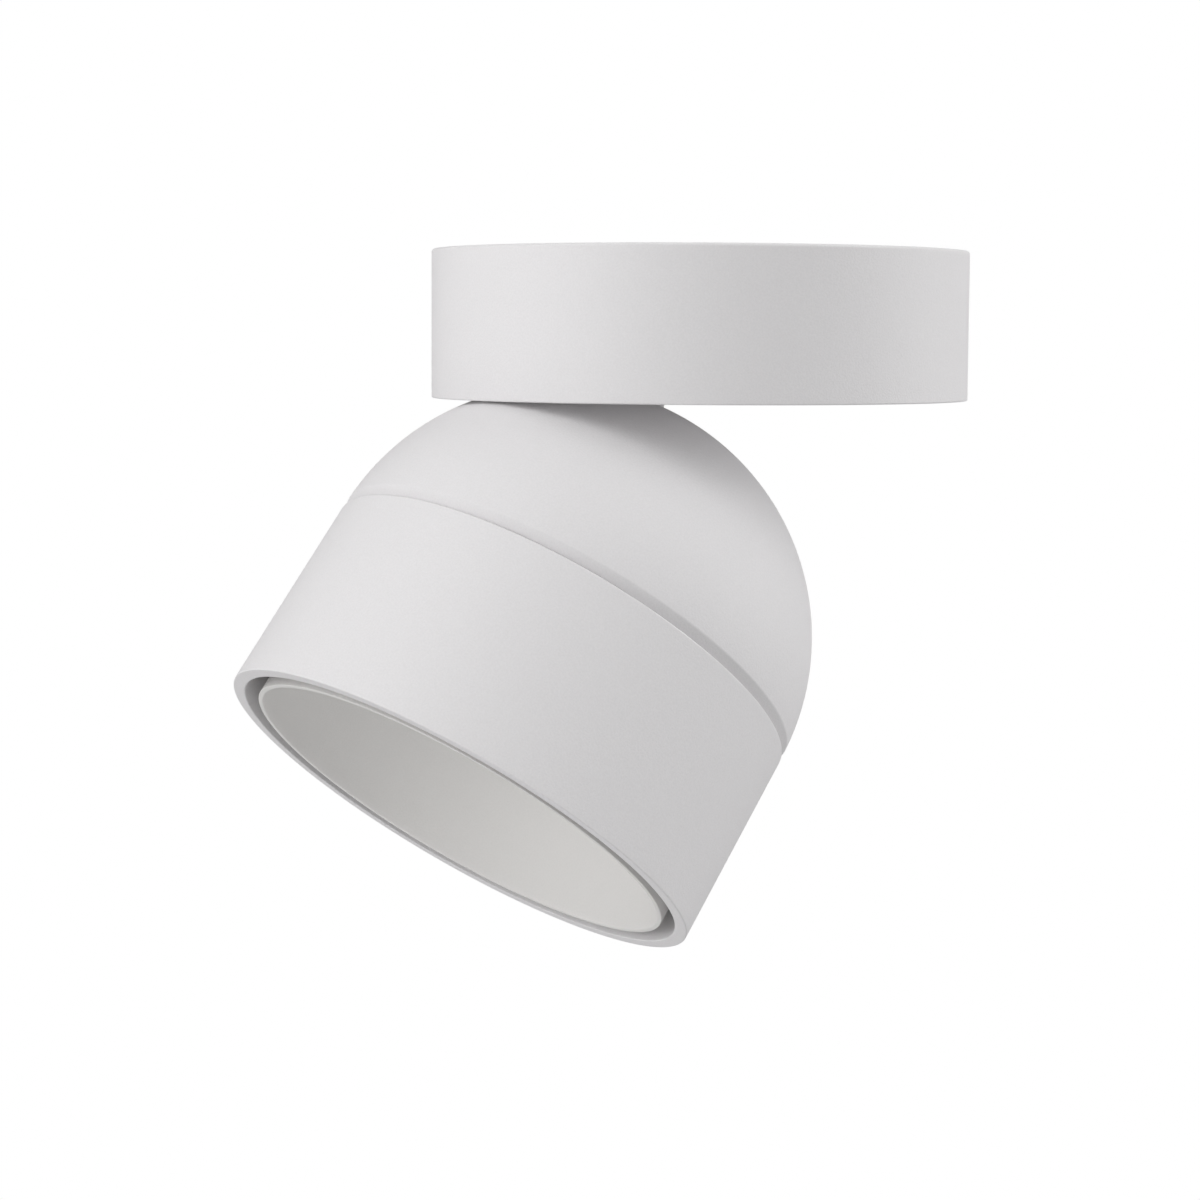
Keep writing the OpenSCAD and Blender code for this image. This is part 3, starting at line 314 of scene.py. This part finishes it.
def makePlastic(name, colour, rough, grain=900.0, depth=0.00003, spots=0.04):
    finish, tree, shader = newFinish(name)
    fine = objectNoise(tree, grain, 3.0)
    patchTones(tree, plastic["patchSize"], colour, spots, shader)
    roughFrom(tree, fine.outputs["Fac"], rough - plastic["roughSpread"],
              rough + plastic["roughSpread"], shader)
    bumpFrom(tree, fine.outputs["Fac"], depth, shader)
    return finish


circuitBoard = {
    "trackScale": 300.0,
    "trackGap": 0.04,
    "trackDepth": 0.00004,
    "dark": (0.015, 0.11, 0.045, 1),
    "middle": (0.02, 0.14, 0.06, 1),
    "pale": (0.04, 0.22, 0.10, 1),
    "grainSize": 1200.0,
    "rough": (0.25, 0.38),
}


def makeCircuitBoard(name, values):
    finish, tree, shader = newFinish(name)
    place = tree.nodes.new("ShaderNodeTexCoord")
    tracks = tree.nodes.new("ShaderNodeTexBrick")
    tracks.inputs["Scale"].default_value = values["trackScale"]
    tracks.inputs["Mortar Size"].default_value = values["trackGap"]
    tracks.inputs["Color1"].default_value = values["dark"]
    tracks.inputs["Color2"].default_value = values["middle"]
    tracks.inputs["Mortar"].default_value = values["pale"]
    tree.links.new(place.outputs["Object"], tracks.inputs["Vector"])
    tree.links.new(tracks.outputs["Color"], shader.inputs["Base Color"])
    bumpFrom(tree, tracks.outputs["Fac"], values["trackDepth"], shader)
    fine = objectNoise(tree, values["grainSize"])
    roughFrom(tree, fine.outputs["Fac"], *values["rough"], shader)
    return finish


# Green and yellow stripes across the wire
earthSheath = {
    "stripeScale": 260.0,
    "stripeWander": 0.4,
    "green": (0.03, 0.22, 0.04),
    "yellow": (0.72, 0.66, 0.04),
    "change": (0.49, 0.51),
    "grainSize": 1500.0,
    "grainDepth": 0.00002,
    "rough": (0.38, 0.5),
}


def makeEarthSheath(name, values):
    finish, tree, shader = newFinish(name)
    place = tree.nodes.new("ShaderNodeTexCoord")
    stripes = tree.nodes.new("ShaderNodeTexWave")
    stripes.bands_direction = "Z"
    stripes.inputs["Scale"].default_value = values["stripeScale"]
    stripes.inputs["Distortion"].default_value = values["stripeWander"]
    tree.links.new(place.outputs["Object"], stripes.inputs["Vector"])
    ramp = toneFrom(tree, stripes.outputs["Fac"], values["green"], values["yellow"], shader,
                    *values["change"])
    ramp.color_ramp.interpolation = "CONSTANT"
    fine = objectNoise(tree, values["grainSize"])
    roughFrom(tree, fine.outputs["Fac"], *values["rough"], shader)
    bumpFrom(tree, fine.outputs["Fac"], values["grainDepth"], shader)
    return finish


# Frosted disc with a fine prismatic grain
lensGlass = {
    "grainSize": 1400.0,
    "grainDepth": 0.00008,
    "low": (0.86, 0.88, 0.88),
    "high": (0.95, 0.96, 0.96),
    "rough": (0.28, 0.42),
    "clear": 0.85,
    "bending": 1.49,
}


def makeLensGlass(name, values):
    finish, tree, shader = newFinish(name)
    grain = objectNoise(tree, values["grainSize"], 1.0)
    toneFrom(tree, grain.outputs["Fac"], values["low"], values["high"], shader)
    roughFrom(tree, grain.outputs["Fac"], *values["rough"], shader)
    bumpFrom(tree, grain.outputs["Fac"], values["grainDepth"], shader)
    shader.inputs["Transmission Weight"].default_value = values["clear"]
    shader.inputs["IOR"].default_value = values["bending"]
    return finish


finishes = {
    "white_coat": makePowderCoat("whiteCoat", powderCoat),
    "cup_coat": makePowderCoat("cupCoat", dict(
        powderCoat, colour=(0.79, 0.777, 0.762), grainDepth=0.00003, grainTone=0.015)),
    "zinc_steel": makeMetal("zincSteel", (0.40, 0.41, 0.41), 0.62, 900.0, 0.00005, spots=0.12,
                            glance=0.35),
    "spring_steel": makeMetal("springSteel", (0.30, 0.30, 0.31), 0.36, 1200.0, 0.00002),
    "brass": makeMetal("brass", (0.72, 0.52, 0.22), 0.30, 900.0, 0.00002),
    "bare_aluminium": makeMetal("castAluminium", (0.66, 0.67, 0.68), 0.46, 1100.0, 0.00008),
    "bright_aluminium": makeMetal("spunAluminium", (0.88, 0.88, 0.89), 0.14, 500.0, 0.00001,
                                  stretch=(1, 1, 12), spots=0.01),
    "white_nylon": makePlastic("whiteNylon", (0.74, 0.73, 0.69), 0.46),
    "white_plastic": makePlastic("whitePlastic", (0.72, 0.72, 0.71), 0.42),
    "black_plastic": makePlastic("blackPlastic", (0.022, 0.022, 0.023), 0.5, depth=0.00006),
    "black_rubber": makePlastic("blackRubber", (0.018, 0.018, 0.018), 0.72, depth=0.00006),
    "circuit_board": makeCircuitBoard("circuitBoard", circuitBoard),
    "ferrite": makePlastic("ferrite", (0.05, 0.048, 0.045), 0.6, depth=0.0001),
    "capacitor_sleeve": makePlastic("capacitorSleeve", (0.02, 0.025, 0.05), 0.28),
    "pad_grey": makePlastic("padGrey", (0.30, 0.34, 0.38), 0.8, depth=0.0001),
    "ceramic": makePlastic("ceramic", (0.66, 0.66, 0.63), 0.5),
    "phosphor": makePlastic("phosphor", (0.78, 0.55, 0.06), 0.35, grain=2500.0, depth=0.00004),
    "lens_glass": makeLensGlass("lensGlass", lensGlass),
    "grey_sheath": makePlastic("greySheath", (0.42, 0.42, 0.41), 0.45),
    "brown_sheath": makePlastic("brownSheath", (0.13, 0.055, 0.025), 0.42),
    "blue_sheath": makePlastic("blueSheath", (0.02, 0.09, 0.36), 0.42),
    "earth_sheath": makeEarthSheath("earthSheath", earthSheath),
    "red_sheath": makePlastic("redSheath", (0.42, 0.02, 0.015), 0.42),
    "black_sheath": makePlastic("blackSheath", (0.02, 0.02, 0.02), 0.42),
}

for entry in frame["record"]["subparts"]:
    piece = nodes[entry["node"]]
    for place in piece.material_slots:
        place.material = finishes[entry["material_slot"]]
print("finishes: %d" % len(finishes))


def dress(piece, slot, body, *replaced):
    piece.data.materials.clear()
    piece.data.materials.append(finishes[slot])
    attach(piece, body)
    if replaced:
        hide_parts(*replaced)


baseCan = {
    "radius": 60.0,
    "wall": 1.5,
    "height": 33.0,
    "edge": 0.7,
    "lowEdge": 0.35,
    "rimBevel": 0.7,
    "floorTop": -26.2,
    "floorUnder": -28.2,
    "wellRadius": 27.48,
    "wellWall": 2.0,
    "roofTop": -15.5,
    "roofUnder": -17.5,
    "tubeHole": 5.05,
    "holeEdge": 0.15,
    "wellEdge": 0.6,
    "floorEdge": 0.5,
    "floorCorner": 0.8,
    "topEdge": 0.25,
    "rimEdge": 0.05,
    "rimInner": 0.1,
    "screwAngles": (0, 120),
    "screwHeight": -8.0,
    "screwHole": 1.56,
    "screwReach": 3,
    "rooted": 0.5,
    "driverPost": {"at": (35.98, 34.04), "radius": 3.3, "tall": 5},
    "terminalPad": {"at": (-39.48, 0), "size": (16, 32), "tall": 3},
    "clampPad": {"at": (-25.38, 35.94), "size": (21.8, 8), "tall": 4, "turn": -54.8},
    "earthPost": {"at": (-25.38, -35.94), "radius": 4.5, "tall": 6},
    "ledge": {
        "low": -9, "high": -7, "inside": 56.2, "size": (4, 16), "angle": 240,
        "sunk": 0.3, "intoWall": 0.6, "cutDepth": 30,
    },
}


def makeLedge(b, inside):
    # The ledge rests on the bracket's foot, a third of a turn from each set screw
    hook = b["ledge"]
    ledge = brick(hook["size"], (inside - hook["sunk"], 0), hook["low"], hook["high"])
    moveMesh(ledge, Matrix.Rotation(math.radians(hook["angle"]), 4, "Z"))
    combine(ledge, barrel(hook["inside"], -hook["cutDepth"], 0, sides=fineTurn), "DIFFERENCE")
    combine(ledge, barrel(inside + hook["intoWall"], -hook["cutDepth"], 0, sides=fineTurn),
            "INTERSECT")
    return ledge


def makeBaseCan(b):
    inside = b["radius"] - b["wall"]
    wellOut = b["wellRadius"] + b["wellWall"]
    low = -b["height"]
    foot = b["floorTop"] - b["rooted"]
    can = turnOnLathe("base_can", [
        (b["tubeHole"], b["roofTop"], b["holeEdge"]),
        (wellOut, b["roofTop"], b["wellEdge"]),
        (wellOut, b["floorTop"], b["floorEdge"]),
        (inside, b["floorTop"], b["floorEdge"]),
        (inside, 0, b["topEdge"]),
        (b["radius"], 0, b["edge"]),
        (b["radius"], low, b["lowEdge"]),
        (inside + b["rimBevel"], low, b["rimEdge"]),
        (inside, low + b["rimBevel"], b["rimInner"]),
        (inside, b["floorUnder"], b["floorCorner"]),
        (b["wellRadius"], b["floorUnder"], b["wellEdge"]),
        (b["wellRadius"], b["roofUnder"], b["wellEdge"]),
        (b["tubeHole"], b["roofUnder"], b["holeEdge"]),
    ])
    post = b["driverPost"]
    for side in (-1, 1):
        combine(can, barrel(post["radius"], foot, b["floorTop"] + post["tall"],
                            (post["at"][0], side * post["at"][1])), "UNION")
    for pad in (b["terminalPad"], b["clampPad"]):
        combine(can, brick(pad["size"], pad["at"], foot, b["floorTop"] + pad["tall"],
                           pad.get("turn", 0)), "UNION")
    post = b["earthPost"]
    combine(can, barrel(post["radius"], foot, b["floorTop"] + post["tall"], post["at"]),
            "UNION")
    combine(can, makeLedge(b, inside), "UNION")
    for angle in b["screwAngles"]:
        hole = barrel(b["screwHole"], -b["screwReach"], b["screwReach"], sides=smallTurn)
        turn = Matrix.Rotation(math.radians(angle), 4, "Z")
        place = Matrix.Translation(Vector((b["radius"], 0, b["screwHeight"])) * mm)
        moveMesh(hole, turn @ place @ Matrix.Rotation(math.pi / 2, 4, "Y"))
        combine(can, hole, "DIFFERENCE")
    softShade(can)
    dress(can, "white_coat", "base", "base_housing")


makeBaseCan(baseCan)
print("base can")

dome = {
    "radius": 54.9,
    "inside": 51.9,
    "bevelStart": 1.7,
    "bevelEnd": -0.5,
    "bevelIn": 1.3,
    "bevelSoft": 0.25,
    "bevelFoot": 0.2,
    "shoulderEdge": 0.1,
    "spigotEdge": 0.3,
    "insideEnd": 0.5,
    "spigot": 52.45,
    "spigotIn": 49.95,
    "spigotEnd": -5.0,
    "arcSteps": 56,
    "seat": 49.0,
    "seatPad": 17.0,
    "stemHole": 9.1,
    "cutPast": 2,
    "bossOverlap": 0.5,
    "ballRings": 48,
    "sinkBoss": {"reach": 37.0, "radius": 4.5, "low": 22.1, "high": 50},
    "tubeBoss": {"reach": 47.5, "radius": 3.5, "low": -4.9, "high": 12},
}


def arc(radius, fromHeight, steps, upward):
    # Points on a sphere's outline between the pole and a height
    last = math.acos(fromHeight / radius)
    angles = [last * i / steps for i in range(steps + 1)]
    if upward:
        angles.reverse()
    return [(radius * math.sin(a), radius * math.cos(a)) for a in angles]


def makeDomeBoss(d, boss, angle):
    # A post that ends on the shell's inside
    post = barrel(boss["radius"], boss["low"], boss["high"], polar(boss["reach"], angle),
                  smallTurn)
    clearSelection()
    bpy.ops.mesh.primitive_uv_sphere_add(segments=midTurn, ring_count=d["ballRings"],
                                         radius=(d["inside"] + d["bossOverlap"]) * mm)
    combine(post, bpy.context.object, "INTERSECT")
    return post


def makeDome(d):
    outer = arc(d["radius"], d["bevelStart"], d["arcSteps"], False)
    outer[-1] = (*outer[-1], d["bevelSoft"])
    corners = outer + [
        (d["radius"] - d["bevelIn"], d["bevelEnd"], d["bevelFoot"]),
        (d["spigot"], d["bevelEnd"], d["shoulderEdge"]),
        (d["spigot"], d["spigotEnd"], d["spigotEdge"]),
        (d["spigotIn"], d["spigotEnd"], d["spigotEdge"]),
        (d["spigotIn"], d["insideEnd"]),
    ] + arc(d["inside"], d["insideEnd"], d["arcSteps"], True)
    shell = turnOnLathe("dome_shell", corners, closed=False)
    toArm = Matrix.Rotation(-armLean, 4, "Y")
    pad = barrel(d["seatPad"], d["seat"], d["inside"], sides=midTurn)
    moveMesh(pad, toArm)
    combine(shell, pad, "UNION")
    for angle in thirds:
        for boss in (d["sinkBoss"], d["tubeBoss"]):
            combine(shell, makeDomeBoss(d, boss, angle), "UNION")
    hole = barrel(d["stemHole"], d["seat"] - d["cutPast"], d["radius"] + d["cutPast"],
                  sides=midTurn)
    moveMesh(hole, toArm)
    combine(shell, hole, "DIFFERENCE")
    moveMesh(shell, headPlace())
    softShade(shell)
    dress(shell, "white_coat", "head", "dome_housing")


makeDome(dome)
print("dome")

tube = {
    "rearRadius": 55.0,
    "frontRadius": 55.4,
    "inside": 52.5,
    "rear": -0.8,
    "front": -45.2,
    "rearEdge": 0.38,
    "frontEdge": 0.3,
    "seatEdge": 0.1,
    "flangeCorner": 0.3,
    "flangeEdge": 0.2,
    "flangeTop": -5.0,
    "flangeUnder": -7.5,
    "flangeIn": 43.5,
    "screwCircle": 47.5,
    "screwHole": 1.6,
    "cutPast": 1,
}


def makeTube(t):
    ring = turnOnLathe("tube_shell", [
        (t["inside"], t["rear"], t["seatEdge"]),
        (t["rearRadius"], t["rear"], t["rearEdge"]),
        (t["frontRadius"], t["front"], t["frontEdge"]),
        (t["inside"], t["front"], t["frontEdge"]),
        (t["inside"], t["flangeUnder"], t["flangeCorner"]),
        (t["flangeIn"], t["flangeUnder"], t["flangeEdge"]),
        (t["flangeIn"], t["flangeTop"], t["flangeEdge"]),
        (t["inside"], t["flangeTop"], t["seatEdge"]),
    ])
    for angle in thirds:
        hole = barrel(t["screwHole"], t["flangeUnder"] - t["cutPast"],
                      t["flangeTop"] + t["cutPast"], polar(t["screwCircle"], angle), screwTurn)
        combine(ring, hole, "DIFFERENCE")
    moveMesh(ring, headPlace())
    softShade(ring)
    dress(ring, "white_coat", "head", "front_tube")


makeTube(tube)
print("front tube")

cup = {
    "radius": 49.3,
    "lipInside": 48.3,
    "front": -45.0,
    "collarEnd": -36.0,
    "rear": -12.7,
    "aperture": 20.5,
    "bow": 3.0,
    "wall": 1.5,
    "steps": 36,
    "lipInner": 0.15,
    "lipOuter": 0.22,
    "collarEdge": 0.3,
    "collarInner": 0.1,
    "sideMeetsLip": 0.4,
    "neckIn": 27.65,
    "neckOut": 29.45,
    "neckEnd": -10.0,
    "neckFoot": 2.5,
    "neckRoom": 0.4,
    "neckEdge": 0.3,
}


def cupSide(c, t, setOut):
    low = Vector((c["aperture"], -c["rear"]))
    high = Vector((c["lipInside"] - c["sideMeetsLip"], -c["front"] - c["sideMeetsLip"]))
    along = high - low
    out = Vector((along.y, -along.x)).normalized()
    p = low + along * t + out * (c["bow"] * 4 * t * (1 - t) + setOut)
    return (p.x, -p.y)


def makeCup(c):
    steps = c["steps"]
    inside = [cupSide(c, i / steps, 0) for i in range(steps + 1)]
    outside = [cupSide(c, i / steps, c["wall"]) for i in range(steps - 1, -1, -1)]
    # The outer side starts clear of the neck and ends behind the collar
    outside = [p for p in outside
               if p[1] > c["collarEnd"] and p[0] > c["neckOut"] + c["neckRoom"]]
    bowl = turnOnLathe("cup_bowl", inside + [
        (c["lipInside"], c["front"], c["lipInner"]),
        (c["radius"], c["front"], c["lipOuter"]),
        (c["radius"], c["collarEnd"], c["collarEdge"]),
        (c["radius"] - c["wall"], c["collarEnd"], c["collarInner"]),
    ] + outside + [
        (c["neckOut"], c["rear"] - c["neckFoot"]),
        (c["neckOut"], c["neckEnd"], c["neckEdge"]),
        (c["neckIn"], c["neckEnd"], c["neckEdge"]),
        (c["neckIn"], c["rear"]),
    ])
    moveMesh(bowl, headPlace())
    softShade(bowl)
    dress(bowl, "cup_coat", "head", "anti_glare_cup")


makeCup(cup)
print("cup")

view = {
    "place": (-0.4129, -0.4912, -0.0185),
    "azimuth": -38.06,
    "pitch": -5.36,
    "roll": -0.33,
    "lens": 85.30,
    "sensor": 36,
    "near": 0.01,
    "far": 50,
}
bpy.ops.object.camera_add()
camera = bpy.context.object
camera.name = "camera"
camera.location = view["place"]
camera.rotation_euler = (math.radians(90 + view["pitch"]), math.radians(view["roll"]),
                         math.radians(view["azimuth"]))
camera.data.lens = view["lens"]
camera.data.sensor_width = view["sensor"]
camera.data.clip_start = view["near"]
camera.data.clip_end = view["far"]
bpy.context.scene.camera = camera

room = {
    "floorHeight": -1.60,
    "floorSize": 14.0,
    "floorTone": 0.85,
    "floorRough": 0.8,
    "white": 1.0,
    "worldLight": 0.325,
    "lampSize": 0.9,
    "lampFar": 1.2,
    "lampTarget": (-0.03, 0, -0.08),
    # Name, degrees right of the camera, degrees above, watts
    "lamps": (
        ("keyLeft", -60, 10, 4.1),
        ("keyFront", -30, 10, 0.9),
        ("rightSide", 90, 10, 5.9),
        ("highLeft", -45, 50, 5.0),
        ("highSide", 90, 50, 3.2),
        ("lowSide", -90, -40, 1.6),
        ("lowLeft", -45, -40, 1.6),
        ("lowRight", 45, -40, 0.6),
    ),
}


def showsWhite(tree, lit, strength):
    # Seen straight or through the lens it is plain white. Elsewhere it is lit.
    path = tree.nodes.new("ShaderNodeLightPath")
    through = tree.nodes.new("ShaderNodeMath")
    through.operation = "MAXIMUM"
    tree.links.new(path.outputs["Is Camera Ray"], through.inputs[0])
    tree.links.new(path.outputs["Is Transmission Ray"], through.inputs[1])
    white = tree.nodes.new("ShaderNodeBackground" if lit.type == "BACKGROUND"
                           else "ShaderNodeEmission")
    white.inputs["Color"].default_value = (1, 1, 1, 1)
    white.inputs["Strength"].default_value = strength
    mix = tree.nodes.new("ShaderNodeMixShader")
    tree.links.new(through.outputs[0], mix.inputs["Fac"])
    tree.links.new(lit.outputs[0], mix.inputs[1])
    tree.links.new(white.outputs[0], mix.inputs[2])
    return mix


def makeRoom(r):
    world = bpy.data.worlds.new("studio")
    bpy.context.scene.world = world
    world.use_nodes = True
    tree = world.node_tree
    lit = tree.nodes["Background"]
    lit.inputs["Color"].default_value = (1.0, 1.0, 1.0, 1)
    lit.inputs["Strength"].default_value = r["worldLight"]
    mix = showsWhite(tree, lit, r["white"])
    tree.links.new(mix.outputs[0], tree.nodes["World Output"].inputs["Surface"])

    clearSelection()
    bpy.ops.mesh.primitive_plane_add(size=r["floorSize"], location=(0, 0, r["floorHeight"]))
    floor = bpy.context.object
    floor.name = "floor"
    bpy.ops.object.transform_apply(location=True, rotation=True, scale=True)
    paint = bpy.data.materials.new("paleFloor")
    paint.use_nodes = True
    tree = paint.node_tree
    lit = tree.nodes["Principled BSDF"]
    lit.inputs["Base Color"].default_value = (*[r["floorTone"]] * 3, 1)
    lit.inputs["Roughness"].default_value = r["floorRough"]
    mix = showsWhite(tree, lit, r["white"])
    tree.links.new(mix.outputs[0], tree.nodes["Material Output"].inputs["Surface"])
    floor.data.materials.append(paint)

    target = Vector(r["lampTarget"])
    turn = math.radians(view["azimuth"])
    right = Vector((math.cos(turn), math.sin(turn), 0))
    back = Vector((math.sin(turn), -math.cos(turn), 0))
    for name, aside, above, power in r["lamps"]:
        a, h = math.radians(aside), math.radians(above)
        away = (back * math.cos(a) + right * math.sin(a)) * math.cos(h)
        away.z += math.sin(h)
        bpy.ops.object.light_add(type="AREA", location=target + away * r["lampFar"])
        lamp = bpy.context.object
        lamp.name = name
        lamp.data.shape = "DISK"
        lamp.data.size = r["lampSize"]
        lamp.data.energy = power
        lamp.rotation_euler = away.to_track_quat("Z", "Y").to_euler()


makeRoom(room)
bpy.context.scene.view_settings.view_transform = "Standard"
print("camera, floor and light")
